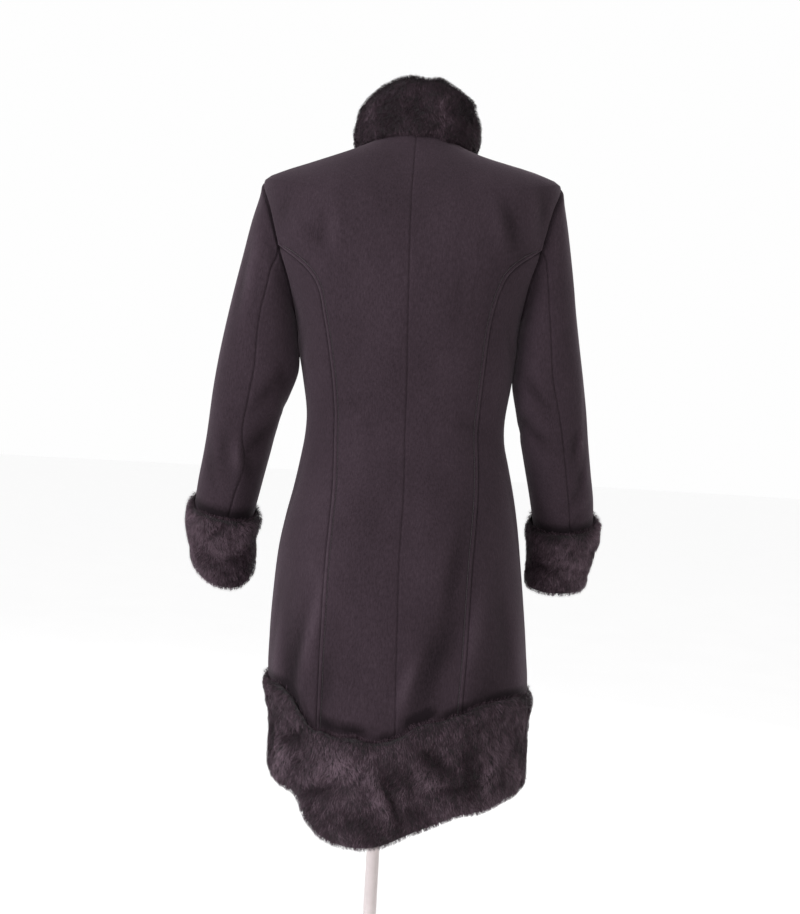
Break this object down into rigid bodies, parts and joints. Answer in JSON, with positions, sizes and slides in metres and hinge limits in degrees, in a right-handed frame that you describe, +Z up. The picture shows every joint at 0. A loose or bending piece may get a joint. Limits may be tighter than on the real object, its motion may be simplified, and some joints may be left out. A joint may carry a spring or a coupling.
{
  "type": "fitted coat on a limbless dress form",
  "caption": "Knee-length fitted princess-line wool coat with turned-up fur collar, turned-back fur cuffs and a wide fur hem band, shown on a smooth limbless dress form with a round base",
  "frame": {"origin": "centre of the round base's underside, on the floor and on the pole's axis", "axes": "+Z up; the coat's front faces -Y; the wearer's left side is +X"},
  "size_m": [0.5982, 0.36, 1.476],
  "materials": {
    "wool": "matte",
    "fur": "matte",
    "button": "satin",
    "form_cloth": "matte",
    "stand_paint": "satin"
  },
  "bodies": {
    "root": {"back_centre_left": "wool", "back_centre_right": "wool", "back_side_left": "wool", "back_side_right": "wool", "front_side_left": "wool", "front_side_right": "wool", "front_centre_left": "wool", "front_centre_right": "wool", "upper_sleeve_left": "wool", "upper_sleeve_right": "wool", "under_sleeve_left": "wool", "under_sleeve_right": "wool", "fur_cuff_left": "fur", "fur_cuff_right": "fur", "fur_collar": "fur", "fur_hem_back": "fur", "fur_hem_left": "fur", "fur_hem_right": "fur", "button_1": "button", "button_2": "button", "button_3": "button", "button_4": "button", "button_5": "button", "form_torso": "form_cloth", "form_pole": "stand_paint", "form_base": "stand_paint"}
  },
  "joints": []
}
